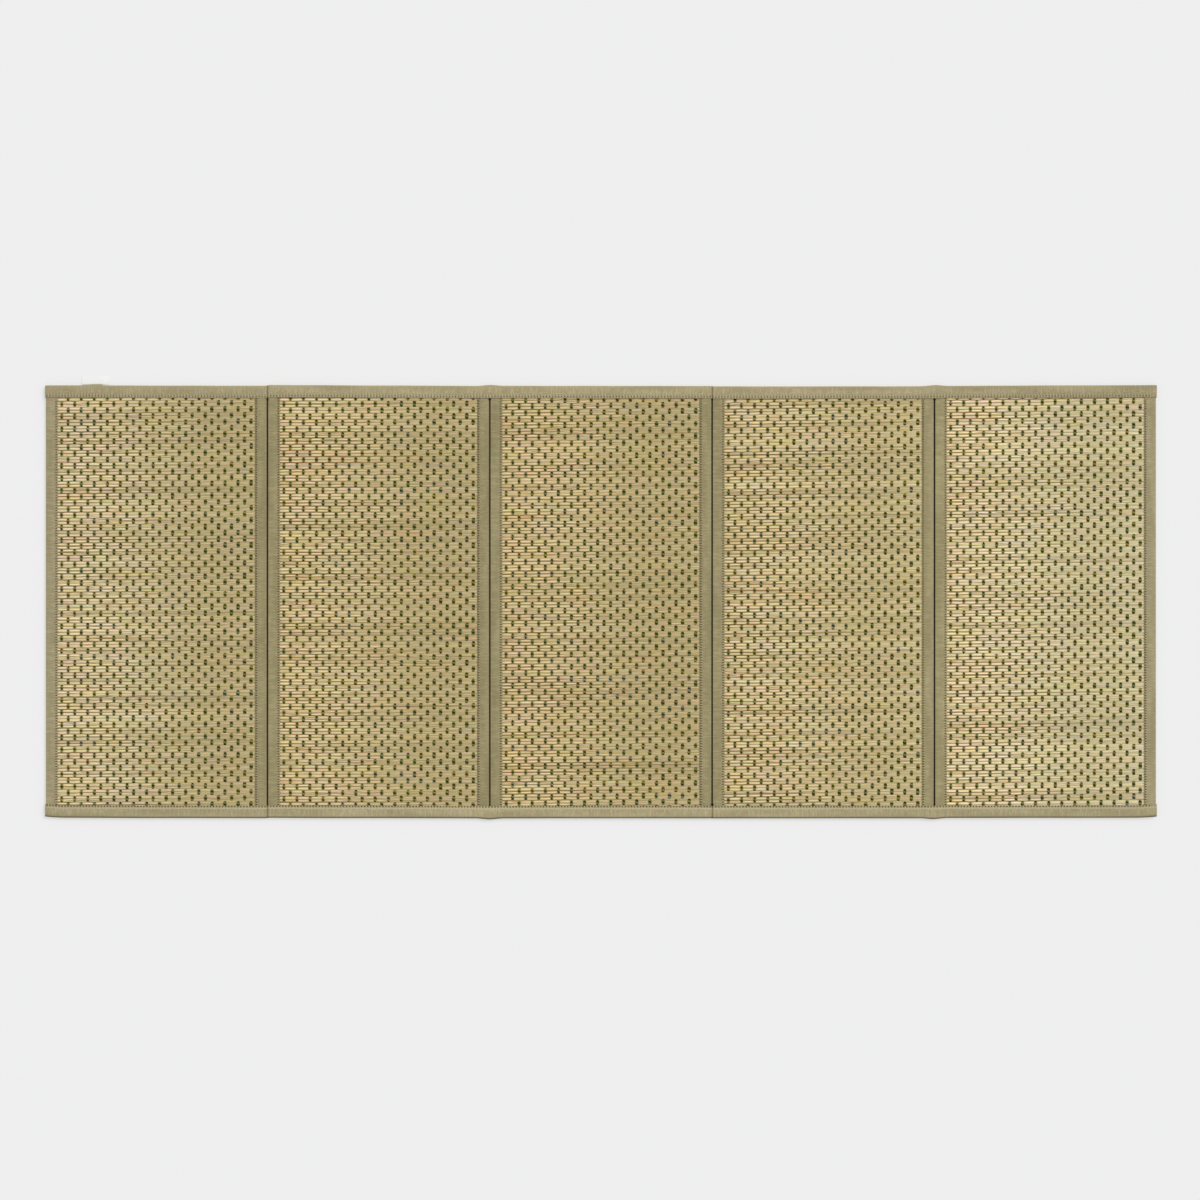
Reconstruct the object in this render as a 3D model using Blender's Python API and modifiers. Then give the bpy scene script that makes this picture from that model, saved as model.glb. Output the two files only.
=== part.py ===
"""Folding rush mat: five bound panels of woven rush in a row, lying open and flat on the floor.

Each panel is a slab of woven rush whose stems run along X. A ribbon binding is folded over each of its two
short ends, and two long bindings are folded over the panels' other edges. They run on from panel to panel,
so they are what joins the panels, and the mat folds at the four slits between them.

Metres, +X along the row of panels, +Y towards the back edge, +Z up. The origin is on the floor under the
middle of the mat.
"""

import math

import bmesh
import bpy
from mathutils import Vector

# The whole mat
MAT_LENGTH = 1.800
MAT_WIDTH = 0.700
MAT_HEIGHT = 0.0076
PANEL_COUNT = 5
PANEL_PITCH = MAT_LENGTH / PANEL_COUNT
FOLD_GAP = 0.002

# The ribbon that binds every edge, and the clearance between pieces that are sewn onto each other
RIBBON = 0.0008
SEAT = 0.0003
LONG_COVER = 0.020
SIDE_COVER = 0.019
LONG_EDGE_RADIUS = 0.0018
SIDE_EDGE_RADIUS = 0.0016
LONG_END_OVERHANG = 0.0012
ARC_STEPS = 3

# Levels of the layers where the bindings lie on each other, worked out from the outside in
SIDE_BOTTOM = RIBBON + SEAT
SIDE_TOP = MAT_HEIGHT - RIBBON - SEAT
SIDE_RIM_BOTTOM = SIDE_BOTTOM + RIBBON + SEAT
SIDE_RIM_TOP = SIDE_TOP - RIBBON - SEAT

# The rush between the bindings: it lies on the floor and rises to a low crown
RUSH_SHOULDER = 0.0064
RUSH_CROWN = 0.0006
RUSH_SLOPE = 0.007
CROWN_STATIONS = (0.25, 0.5, 0.75)

# The folds, from left to right. At a valley the long bindings are creased into the slit, and at a ridge they
# stand proud of it.
FOLD_KINDS = ("valley", "ridge", "valley", "ridge")
CREASE_HALF_WIDTH = 0.0018
CREASE_DEPTH = 0.0010
RIDGE_HALF_WIDTH = 0.022
RIDGE_RISE = 0.0009
RIDGE_BULGE = 0.0016
RIDGE_STATIONS = (0.2, 0.45, 0.7)

# How far the long edges of each panel stray outwards from a straight line, at its left and right end
EDGE_DRIFT = (
    {"back_left": 0.0008, "back_right": 0.0, "front_left": -0.0008, "front_right": 0.0001},
    {"back_left": 0.0014, "back_right": -0.0003, "front_left": -0.0006, "front_right": 0.0003},
    {"back_left": 0.0, "back_right": -0.0003, "front_left": 0.0002, "front_right": 0.0001},
    {"back_left": -0.0010, "back_right": -0.0008, "front_left": 0.0003, "front_right": 0.0001},
    {"back_left": -0.0002, "back_right": 0.0012, "front_left": -0.0004, "front_right": -0.0008},
)
DRIFT_BLEND = 0.004

# The front corners are pulled in towards the mat
CORNER_TUCK = 0.0018
CORNER_TUCK_LENGTH = 0.035
CORNER_STATIONS = (0.35, 0.7, 1.0)

# The blank care label sewn into the back binding of the first panel, which swells out over its sewn end
LABEL_CENTRE_X = -0.819
LABEL_WIDTH = 0.044
LABEL_REACH = 0.013
LABEL_THICKNESS = 0.001
SWELL = 0.0022
SWELL_OUTLINE = ((-0.843, 0.0), (-0.837, 0.5), (-0.828, 0.6), (-0.822, 1.0), (-0.809, 1.0), (-0.804, 0.0))

# Linear base colours and roughness
RUSH_FINISH = ((0.40, 0.32, 0.16), 0.55)
RIBBON_FINISH = ((0.33, 0.28, 0.17), 0.8)
LABEL_FINISH = ((0.85, 0.85, 0.84), 0.7)

# Points nearer to a cut than this are left on it
CUT_TOLERANCE = 1e-6


def clear_scene():
    """Removes what the scene holds before the mat is made."""
    for old in list(bpy.data.objects):
        bpy.data.objects.remove(old, do_unlink=True)


def material(name, finish):
    """A cloth-like Principled material in a finish: its colour and its roughness."""
    colour, roughness = finish
    made = bpy.data.materials.new(name)
    made.use_nodes = True
    shader = made.node_tree.nodes["Principled BSDF"]
    shader.inputs["Base Color"].default_value = (*colour, 1.0)
    shader.inputs["Roughness"].default_value = roughness
    shader.inputs["Metallic"].default_value = 0.0
    return made


def add_object(name, mesh, collection, finish):
    """Puts a mesh in the scene as one named sub-part."""
    made = bpy.data.objects.new(name, mesh)
    mesh.materials.append(finish)
    collection.objects.link(made)
    return made


def smooth_step(share):
    """0 to 1 with level ends, for a share from 0 to 1."""
    share = min(1.0, max(0.0, share))
    return share * share * (3.0 - 2.0 * share)


def panel_centre(index):
    """X of a panel's middle."""
    return (index - (PANEL_COUNT - 1) / 2.0) * PANEL_PITCH


def panel_ends(index):
    """X of the outer faces of a panel's two side bindings."""
    left = panel_centre(index) - PANEL_PITCH / 2.0 + FOLD_GAP / 2.0
    right = panel_centre(index) + PANEL_PITCH / 2.0 - FOLD_GAP / 2.0
    if index == 0:
        left = -MAT_LENGTH / 2.0 + LONG_END_OVERHANG
    if index == PANEL_COUNT - 1:
        right = MAT_LENGTH / 2.0 - LONG_END_OVERHANG
    return left, right


def fold_lines():
    """X of each fold with its kind."""
    return [(panel_centre(index) + PANEL_PITCH / 2.0, kind) for index, kind in enumerate(FOLD_KINDS)]


def edge_drift(x, side):
    """How far a long edge strays outwards at x, eased over the folds from one panel to the next."""
    position = x / PANEL_PITCH + PANEL_COUNT / 2.0
    index = min(PANEL_COUNT - 1, max(0, int(position)))

    def on_panel(number, share):
        row = EDGE_DRIFT[number]
        left, right = row[side + "_left"], row[side + "_right"]
        return left + (right - left) * min(1.0, max(0.0, share))

    for fold_x, _kind in fold_lines():
        offset = x - fold_x
        if abs(offset) < DRIFT_BLEND:
            number = round(fold_x / PANEL_PITCH + PANEL_COUNT / 2.0)
            share = smooth_step((offset + DRIFT_BLEND) / (2.0 * DRIFT_BLEND))
            return on_panel(number - 1, 1.0) * (1.0 - share) + on_panel(number, 0.0) * share
    corner = max(0.0, 1.0 - (MAT_LENGTH / 2.0 - abs(x)) / CORNER_TUCK_LENGTH)
    tuck = CORNER_TUCK * corner ** 2 if side == "front" else 0.0
    return on_panel(index, position - index) - tuck


def crease(x):
    """Share of the full crease at x: 1 on a valley fold's line."""
    shares = [1.0 - abs(x - at) / CREASE_HALF_WIDTH for at, kind in fold_lines() if kind == "valley"]
    return max(0.0, *shares)


def ridge(x):
    """Share of the full ridge at x: 1 on a ridge fold's line, falling away smoothly."""
    shares = [1.0 - abs(x - at) / RIDGE_HALF_WIDTH for at, kind in fold_lines() if kind == "ridge"]
    return smooth_step(max(0.0, *shares))


def label_swell(x, side):
    """How far the back binding swells out over the label's sewn end."""
    if side == "back":
        for (start, low), (end, high) in zip(SWELL_OUTLINE, SWELL_OUTLINE[1:]):
            if start <= x <= end:
                return SWELL * (low + (high - low) * (x - start) / (end - start))
    return 0.0


def rounded_channel(cover, bottom, top, radius):
    """Half-open outline of a folded ribbon, as (inward, up) points from the lower flap round to the upper.

    Inward is measured from the outer face. The ribbon's two long corners are arcs.
    """
    outline = [(cover, bottom)]
    for step in range(ARC_STEPS + 1):
        angle = math.pi / 2.0 * step / ARC_STEPS
        outline.append((radius - radius * math.sin(angle), bottom + radius - radius * math.cos(angle)))
    for step in range(ARC_STEPS + 1):
        angle = math.pi / 2.0 * step / ARC_STEPS
        outline.append((radius - radius * math.cos(angle), top - radius + radius * math.sin(angle)))
    outline.append((cover, top))
    return outline


def ribbon_sheet(name, outline, stations, place):
    """An open sheet: a grid whose rows follow the outline and whose columns follow the stations.

    place(inward, up, station) gives a grid point's position. The caller's Solidify gives the thickness.
    """
    mesh = bpy.data.meshes.new(name)
    grid = bmesh.new()
    bmesh.ops.create_grid(grid, x_segments=len(stations) - 1, y_segments=len(outline) - 1, size=1.0)
    columns, rows = len(stations) - 1, len(outline) - 1
    for vertex in grid.verts:
        column = round((vertex.co.x + 1.0) / 2.0 * columns)
        row = round((vertex.co.y + 1.0) / 2.0 * rows)
        inward, up = outline[row]
        vertex.co = place(inward, up, stations[column])
    bmesh.ops.recalc_face_normals(grid, faces=grid.faces)
    grid.to_mesh(mesh)
    grid.free()
    return mesh


def add_thickness(piece, outside):
    """Gives an open sheet the ribbon's thickness, laid inwards from its outer side.

    outside is a point in front of the sheet's outer face, which decides the way its faces point.
    """
    mesh = piece.data
    middle = mesh.polygons[len(mesh.polygons) // 2]
    if middle.normal.dot(Vector(outside) - middle.center) < 0.0:
        mesh.flip_normals()
    solidify = piece.modifiers.new("ribbon", "SOLIDIFY")
    solidify.thickness = RIBBON
    solidify.offset = -1.0
    solidify.use_even_offset = True
    solidify.use_rim = True


def rush_edge(x, side):
    """Distance from the mat's middle line to the end of the rush or a side binding, inside a long binding."""
    return MAT_WIDTH / 2.0 - LONG_EDGE_RADIUS + edge_drift(x, side)


def side_binding(name, outer_x, inward_sign, collection, finish):
    """The ribbon folded over one short end of a panel, straight from edge to edge."""
    both_edges = (outer_x, outer_x + inward_sign * SIDE_COVER)
    reach = {side: min(rush_edge(x, side) for x in both_edges) for side in ("back", "front")}
    outline = rounded_channel(SIDE_COVER, SIDE_BOTTOM, SIDE_TOP, SIDE_EDGE_RADIUS)

    def place(inward, up, y):
        return Vector((outer_x + inward_sign * inward, y, up))

    mesh = ribbon_sheet(name, outline, (-reach["front"], reach["back"]), place)
    piece = add_object(name, mesh, collection, finish)
    add_thickness(piece, (outer_x - inward_sign, 0.0, MAT_HEIGHT / 2.0))
    return piece


def long_stations():
    """X of the long bindings' cross-sections: at the corners, along the swell and beside every fold."""
    half = MAT_LENGTH / 2.0
    stations = {-half, half, *(x for x, _share in SWELL_OUTLINE)}
    for share in CORNER_STATIONS:
        stations |= {-half + share * CORNER_TUCK_LENGTH, half - share * CORNER_TUCK_LENGTH}
    for at, kind in fold_lines():
        if kind == "valley":
            offsets = (0.0, CREASE_HALF_WIDTH, DRIFT_BLEND)
        else:
            offsets = (0.0, *(share * RIDGE_HALF_WIDTH for share in RIDGE_STATIONS), RIDGE_HALF_WIDTH)
        for offset in offsets:
            stations |= {at - offset, at + offset}
    return sorted(stations)


def long_binding(name, side, collection, finish):
    """The ribbon folded over the panels' back or front edges, from one end of the mat to the other.

    It dips into the slit at a valley fold. At a ridge fold it rises and bulges outwards.
    """
    outward = 1.0 if side == "back" else -1.0
    outline = rounded_channel(LONG_COVER, 0.0, MAT_HEIGHT, LONG_EDGE_RADIUS)

    def place(inward, up, x):
        rising = up / MAT_HEIGHT
        outer = 1.0 - inward / LONG_COVER
        height = up + rising * (RIDGE_RISE * ridge(x) - CREASE_DEPTH * crease(x))
        stray = edge_drift(x, side) + (RIDGE_BULGE * ridge(x) + label_swell(x, side)) * outer
        return Vector((x, outward * (MAT_WIDTH / 2.0 - inward + stray), height))

    mesh = ribbon_sheet(name, outline, long_stations(), place)
    piece = add_object(name, mesh, collection, finish)
    add_thickness(piece, (0.0, outward * MAT_WIDTH, MAT_HEIGHT / 2.0))
    return piece


def rush_levels(from_end, from_edge, crown):
    """(bottom, top) of the rush at a distance from its short end and from its long edge.

    It is thin where the side ribbon presses on it, a little thicker under the long one, and full between.
    """
    end_slope = smooth_step((from_end - SIDE_COVER - SEAT) / RUSH_SLOPE)
    edge_slope = smooth_step((from_edge - LONG_COVER - SEAT) / RUSH_SLOPE)
    full = RUSH_SHOULDER + RUSH_CROWN * crown
    long_rim_bottom, long_rim_top = RIBBON + SEAT, MAT_HEIGHT - RIBBON - SEAT
    end_top = SIDE_RIM_TOP + (full - SIDE_RIM_TOP) * end_slope
    edge_top = long_rim_top + (full - long_rim_top) * edge_slope
    end_bottom = SIDE_RIM_BOTTOM * (1.0 - end_slope)
    edge_bottom = long_rim_bottom * (1.0 - edge_slope)
    return max(end_bottom, edge_bottom), min(end_top, edge_top)


def sections(half, cover):
    """Positions of a slab's cuts on both sides of its middle: at the ribbon, on the slope, over the crown."""
    rim = half - cover - SEAT
    slopes = (rim, rim - RUSH_SLOPE / 2.0, rim - RUSH_SLOPE)
    crowns = tuple(share * (rim - RUSH_SLOPE) for share in CROWN_STATIONS)
    outer = sorted({*slopes, *crowns})
    return [-at for at in reversed(outer)] + [0.0] + outer


def rush_panel(name, index, collection, finish):
    """One panel's slab of woven rush: a box cut across at its sections, then shaped to its levels."""
    left, right = panel_ends(index)
    centre_x = (left + right) / 2.0
    half_x = (right - left) / 2.0 - SIDE_EDGE_RADIUS
    half_y = MAT_WIDTH / 2.0 - LONG_EDGE_RADIUS
    rim_y = MAT_WIDTH / 2.0 - LONG_COVER
    mesh = bpy.data.meshes.new(name)
    slab = bmesh.new()
    bmesh.ops.create_cube(slab, size=2.0)
    for vertex in slab.verts:
        vertex.co = Vector((vertex.co.x * half_x, vertex.co.y * half_y, vertex.co.z))
    across_x = sections(half_x, SIDE_COVER - SIDE_EDGE_RADIUS)
    across_y = sections(half_y, LONG_COVER - LONG_EDGE_RADIUS)
    cuts = [(Vector((at, 0, 0)), Vector((1, 0, 0))) for at in across_x]
    cuts += [(Vector((0, at, 0)), Vector((0, 1, 0))) for at in across_y]
    for point, normal in cuts:
        geometry = slab.verts[:] + slab.edges[:] + slab.faces[:]
        bmesh.ops.bisect_plane(slab, geom=geometry, dist=CUT_TOLERANCE, plane_co=point, plane_no=normal)
    for vertex in slab.verts:
        x, y = vertex.co.x, vertex.co.y
        crown = (1.0 - (x / half_x) ** 2) * (1.0 - (y / half_y) ** 2)
        from_end = half_x - abs(x) + SIDE_EDGE_RADIUS
        from_edge = half_y - abs(y) + LONG_EDGE_RADIUS
        bottom, top = rush_levels(from_end, from_edge, crown)
        vertex.co.z = top if vertex.co.z > 0.0 else bottom
        outwards = edge_drift(centre_x + x, "back" if y > 0.0 else "front") * min(1.0, abs(y) / rim_y)
        vertex.co.y += outwards * math.copysign(1.0, y)
    slab.to_mesh(mesh)
    slab.free()
    piece = add_object(name, mesh, collection, finish)
    piece.location = (centre_x, 0.0, 0.0)
    return piece


def care_label(collection, finish):
    """The blank label that sticks out of the back seam and lies on the floor."""
    mesh = bpy.data.meshes.new("care_label")
    card = bmesh.new()
    bmesh.ops.create_cube(card, size=1.0)
    for vertex in card.verts:
        vertex.co = Vector(
            (vertex.co.x * LABEL_WIDTH, vertex.co.y * LABEL_REACH, vertex.co.z * LABEL_THICKNESS)
        )
    card.to_mesh(mesh)
    card.free()
    piece = add_object("care_label", mesh, collection, finish)
    seam_y = MAT_WIDTH / 2.0 + edge_drift(LABEL_CENTRE_X - LABEL_WIDTH / 2.0, "back") + SWELL + SEAT
    piece.location = (LABEL_CENTRE_X, seam_y + LABEL_REACH / 2.0, LONG_EDGE_RADIUS + LABEL_THICKNESS / 2.0)
    return piece


def build_mat():
    """Makes every piece of the mat."""
    clear_scene()
    collection = bpy.data.collections.new("rush_mat")
    bpy.context.scene.collection.children.link(collection)
    rush = material("rush", RUSH_FINISH)
    ribbon = material("binding", RIBBON_FINISH)
    label = material("label", LABEL_FINISH)
    for index in range(PANEL_COUNT):
        number = index + 1
        left, right = panel_ends(index)
        rush_panel(f"rush_panel_{number}", index, collection, rush)
        side_binding(f"side_binding_{number}_left", left, 1.0, collection, ribbon)
        side_binding(f"side_binding_{number}_right", right, -1.0, collection, ribbon)
    long_binding("long_binding_back", "back", collection, ribbon)
    long_binding("long_binding_front", "front", collection, ribbon)
    care_label(collection, label)


build_mat()
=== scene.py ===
"""Dresses the folding rush mat: woven rush panels, ribbon bindings, stitching and a blank label.

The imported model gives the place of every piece. Metres, +X along the row of panels, +Y towards the back edge,
+Z up. The camera looks straight down on the mat.
"""

import logging
import math
import random
from dataclasses import dataclass, field, replace
from enum import Enum
from typing import Any, Callable, ClassVar, Sequence

import bmesh
import bpy
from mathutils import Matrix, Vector


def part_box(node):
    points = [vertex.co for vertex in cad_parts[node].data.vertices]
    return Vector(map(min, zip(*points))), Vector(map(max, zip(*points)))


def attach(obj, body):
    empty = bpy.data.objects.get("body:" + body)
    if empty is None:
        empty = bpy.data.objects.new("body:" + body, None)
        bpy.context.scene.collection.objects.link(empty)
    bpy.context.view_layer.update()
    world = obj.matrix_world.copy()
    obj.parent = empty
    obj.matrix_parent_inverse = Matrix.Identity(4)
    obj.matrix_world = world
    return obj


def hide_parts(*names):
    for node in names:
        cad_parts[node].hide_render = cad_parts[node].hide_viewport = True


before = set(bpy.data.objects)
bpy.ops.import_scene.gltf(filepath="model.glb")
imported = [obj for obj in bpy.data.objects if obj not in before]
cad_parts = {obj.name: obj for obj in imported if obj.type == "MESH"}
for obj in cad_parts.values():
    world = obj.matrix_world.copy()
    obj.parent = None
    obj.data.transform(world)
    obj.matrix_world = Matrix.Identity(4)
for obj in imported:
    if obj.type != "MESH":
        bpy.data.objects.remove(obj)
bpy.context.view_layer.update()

BODY = "root"

LOG = logging.getLogger("rush_mat")


class Edge(Enum):
    """The mat's two long edges, with the sign of their Y."""

    BACK = 1.0
    FRONT = -1.0


class End(Enum):
    """A panel's two short ends, with the direction from the end's outer face into the panel."""

    LEFT = 1.0
    RIGHT = -1.0


class Slot(Enum):
    """Material slot names that go with the pieces."""

    RUSH = "rush"
    BINDING = "binding"
    LABEL = "label"


# Node graphs


class Signal:
    """An output socket that takes part in Python arithmetic, in a shader or a geometry tree."""

    def __init__(self, graph: "Graph", socket: bpy.types.NodeSocket) -> None:
        """Keeps the socket with the graph that new nodes go into."""
        self.graph = graph
        self.socket = socket

    def _math(self, operation: str, *others: Any) -> "Signal":
        """This signal as the first value of a Math node."""
        return self.graph.math(operation, self, *others)

    def __add__(self, other: Any) -> "Signal":
        """self + other."""
        return self._math("ADD", other)

    def __radd__(self, other: Any) -> "Signal":
        """other + self."""
        return self._math("ADD", other)

    def __sub__(self, other: Any) -> "Signal":
        """self - other."""
        return self._math("SUBTRACT", other)

    def __rsub__(self, other: Any) -> "Signal":
        """other - self."""
        return self.graph.math("SUBTRACT", other, self)

    def __mul__(self, other: Any) -> "Signal":
        """self * other."""
        return self._math("MULTIPLY", other)

    def __rmul__(self, other: Any) -> "Signal":
        """other * self."""
        return self._math("MULTIPLY", other)

    def __truediv__(self, other: Any) -> "Signal":
        """self / other."""
        return self._math("DIVIDE", other)

    def __pow__(self, power: Any) -> "Signal":
        """self to a power, for a signal that isn't negative."""
        return self._math("POWER", power)

    def absolute(self) -> "Signal":
        """Size without the sign."""
        return self._math("ABSOLUTE")

    def floor(self) -> "Signal":
        """The whole number below."""
        return self._math("FLOOR")

    def nearest(self) -> "Signal":
        """The nearest whole number."""
        return self._math("ROUND")

    def fraction(self) -> "Signal":
        """What is left above the whole number below."""
        return self._math("FRACT")

    def root(self) -> "Signal":
        """Square root."""
        return self._math("SQRT")

    def cosine(self) -> "Signal":
        """Cosine of an angle in radians."""
        return self._math("COSINE")

    def sign(self) -> "Signal":
        """-1, 0 or 1."""
        return self._math("SIGN")

    def at_least(self, low: Any) -> "Signal":
        """The larger of the signal and low."""
        return self._math("MAXIMUM", low)

    def at_most(self, high: Any) -> "Signal":
        """The smaller of the signal and high."""
        return self._math("MINIMUM", high)

    def above(self, limit: Any) -> "Signal":
        """1 where the signal is above the limit, else 0."""
        return self._math("GREATER_THAN", limit)

    def eased(self, start: float, end: float) -> "Signal":
        """0 before start and 1 after end, with a smooth step between."""
        settings = {"interpolation_type": "SMOOTHSTEP"}
        values = {"Value": self, "From Min": start, "From Max": end}
        node = self.graph.node("ShaderNodeMapRange", settings, values)
        return Signal(self.graph, node.outputs["Result"])


class Graph:
    """Builds nodes in a tree."""

    def __init__(self, tree: bpy.types.NodeTree) -> None:
        """Keeps the tree."""
        self.tree = tree

    def node(
        self, kind: str, settings: dict[str, Any] | None = None, values: dict[Any, Any] | None = None
    ) -> Any:
        """Adds a node.

        Args:
            kind: the node's type name.
            settings: its properties, which are set first.
            values: the values or links of its inputs, by identifier, name or number.

        Returns:
            The node.
        """
        made = self.tree.nodes.new(kind)
        for name, value in (settings or {}).items():
            setattr(made, name, value)
        for key, value in (values or {}).items():
            self.feed(self._input(made, key), value)
        return made

    def feed(self, socket: bpy.types.NodeSocket, value: Any) -> None:
        """Links a signal to an input, or sets the input's value."""
        if isinstance(value, Signal):
            self.tree.links.new(value.socket, socket)
        elif isinstance(value, bpy.types.NodeSocket):
            self.tree.links.new(value, socket)
        else:
            socket.default_value = value

    def math(self, operation: str, *values: Any) -> Signal:
        """A Math node on signals or numbers."""
        made = self.node("ShaderNodeMath", {"operation": operation}, dict(enumerate(values)))
        return Signal(self, made.outputs[0])

    def split(self, vector: Signal) -> tuple[Signal, Signal, Signal]:
        """The three parts of a vector."""
        made = self.node("ShaderNodeSeparateXYZ", None, {"Vector": vector})
        return tuple(Signal(self, made.outputs[axis]) for axis in "XYZ")

    def vector(self, x: Any, y: Any, z: Any) -> Signal:
        """A vector from three parts."""
        made = self.node("ShaderNodeCombineXYZ", None, {"X": x, "Y": y, "Z": z})
        return Signal(self, made.outputs["Vector"])

    def noise(self, vector: Any, detail: float) -> Signal:
        """Smooth noise from 0 to 1 at a vector, with features about one unit wide."""
        settings = {"noise_dimensions": "3D"}
        values = {"Vector": vector, "Scale": 1.0, "Detail": detail}
        made = self.node("ShaderNodeTexNoise", settings, values)
        return Signal(self, made.outputs[0])

    def scatter(self, x: Any, y: Any = 0.0, z: Any = 0.0) -> Signal:
        """An unrelated number from 0 to 1 for each whole-numbered place."""
        settings = {"noise_dimensions": "3D"}
        made = self.node("ShaderNodeTexWhiteNoise", settings, {"Vector": self.vector(x, y, z)})
        return Signal(self, made.outputs["Value"])

    def blend(self, share: Any, low: Any, high: Any) -> Signal:
        """Colour between two colours."""
        settings = {"data_type": "RGBA"}
        values = {"Factor_Float": share, "A_Color": low, "B_Color": high}
        made = self.node("ShaderNodeMix", settings, values)
        return Signal(self, next(out for out in made.outputs if out.identifier == "Result_Color"))

    def tint(self, colour: Signal, other: Any) -> Signal:
        """A colour multiplied by another."""
        made = self.node("ShaderNodeVectorMath", {"operation": "MULTIPLY"}, {0: colour, 1: other})
        return Signal(self, made.outputs["Vector"])

    @staticmethod
    def _input(made: Any, key: Any) -> bpy.types.NodeSocket:
        """Finds an input by number, identifier or name."""
        if isinstance(key, int):
            return made.inputs[key]
        named = [socket for socket in made.inputs if socket.identifier == key]
        return named[0] if named else made.inputs[key]


class SurfaceGraph(Graph):
    """The shader tree of a new material."""

    def __init__(self, name: str, **constants: Any) -> None:
        """Makes the material.

        Args:
            name: the material's name.
            constants: the Principled shader's inputs that are the same all over, with _ for a space.
        """
        self.material = bpy.data.materials.new(name)
        self.material.use_nodes = True
        super().__init__(self.material.node_tree)
        self.shader = self.tree.nodes["Principled BSDF"]
        for key, value in constants.items():
            self.shader.inputs[key.replace("_", " ")].default_value = value

    def attribute(self, name: str) -> Signal:
        """A vector that the piece stores under a name."""
        made = self.node("ShaderNodeAttribute", {"attribute_name": name})
        return Signal(self, made.outputs["Vector"])

    def place(self) -> Signal:
        """The point's place in the mat."""
        return Signal(self, self.node("ShaderNodeTexCoord").outputs["Object"])

    def finish(
        self, colour: Any, roughness: Any, height: Any = None, depth: float = 0.0
    ) -> bpy.types.Material:
        """Feeds the shader.

        Args:
            colour: base colour.
            roughness: roughness.
            height: relief from 0 to 1, if there is any.
            depth: metres from the relief's 0 to its 1.

        Returns:
            The material.
        """
        self.feed(self.shader.inputs["Base Color"], colour)
        self.feed(self.shader.inputs["Roughness"], roughness)
        if height is not None:
            bump = self.node("ShaderNodeBump", None, {"Height": height, "Distance": depth, "Strength": 1.0})
            self.feed(self.shader.inputs["Normal"], bump.outputs["Normal"])
        return self.material


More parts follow.
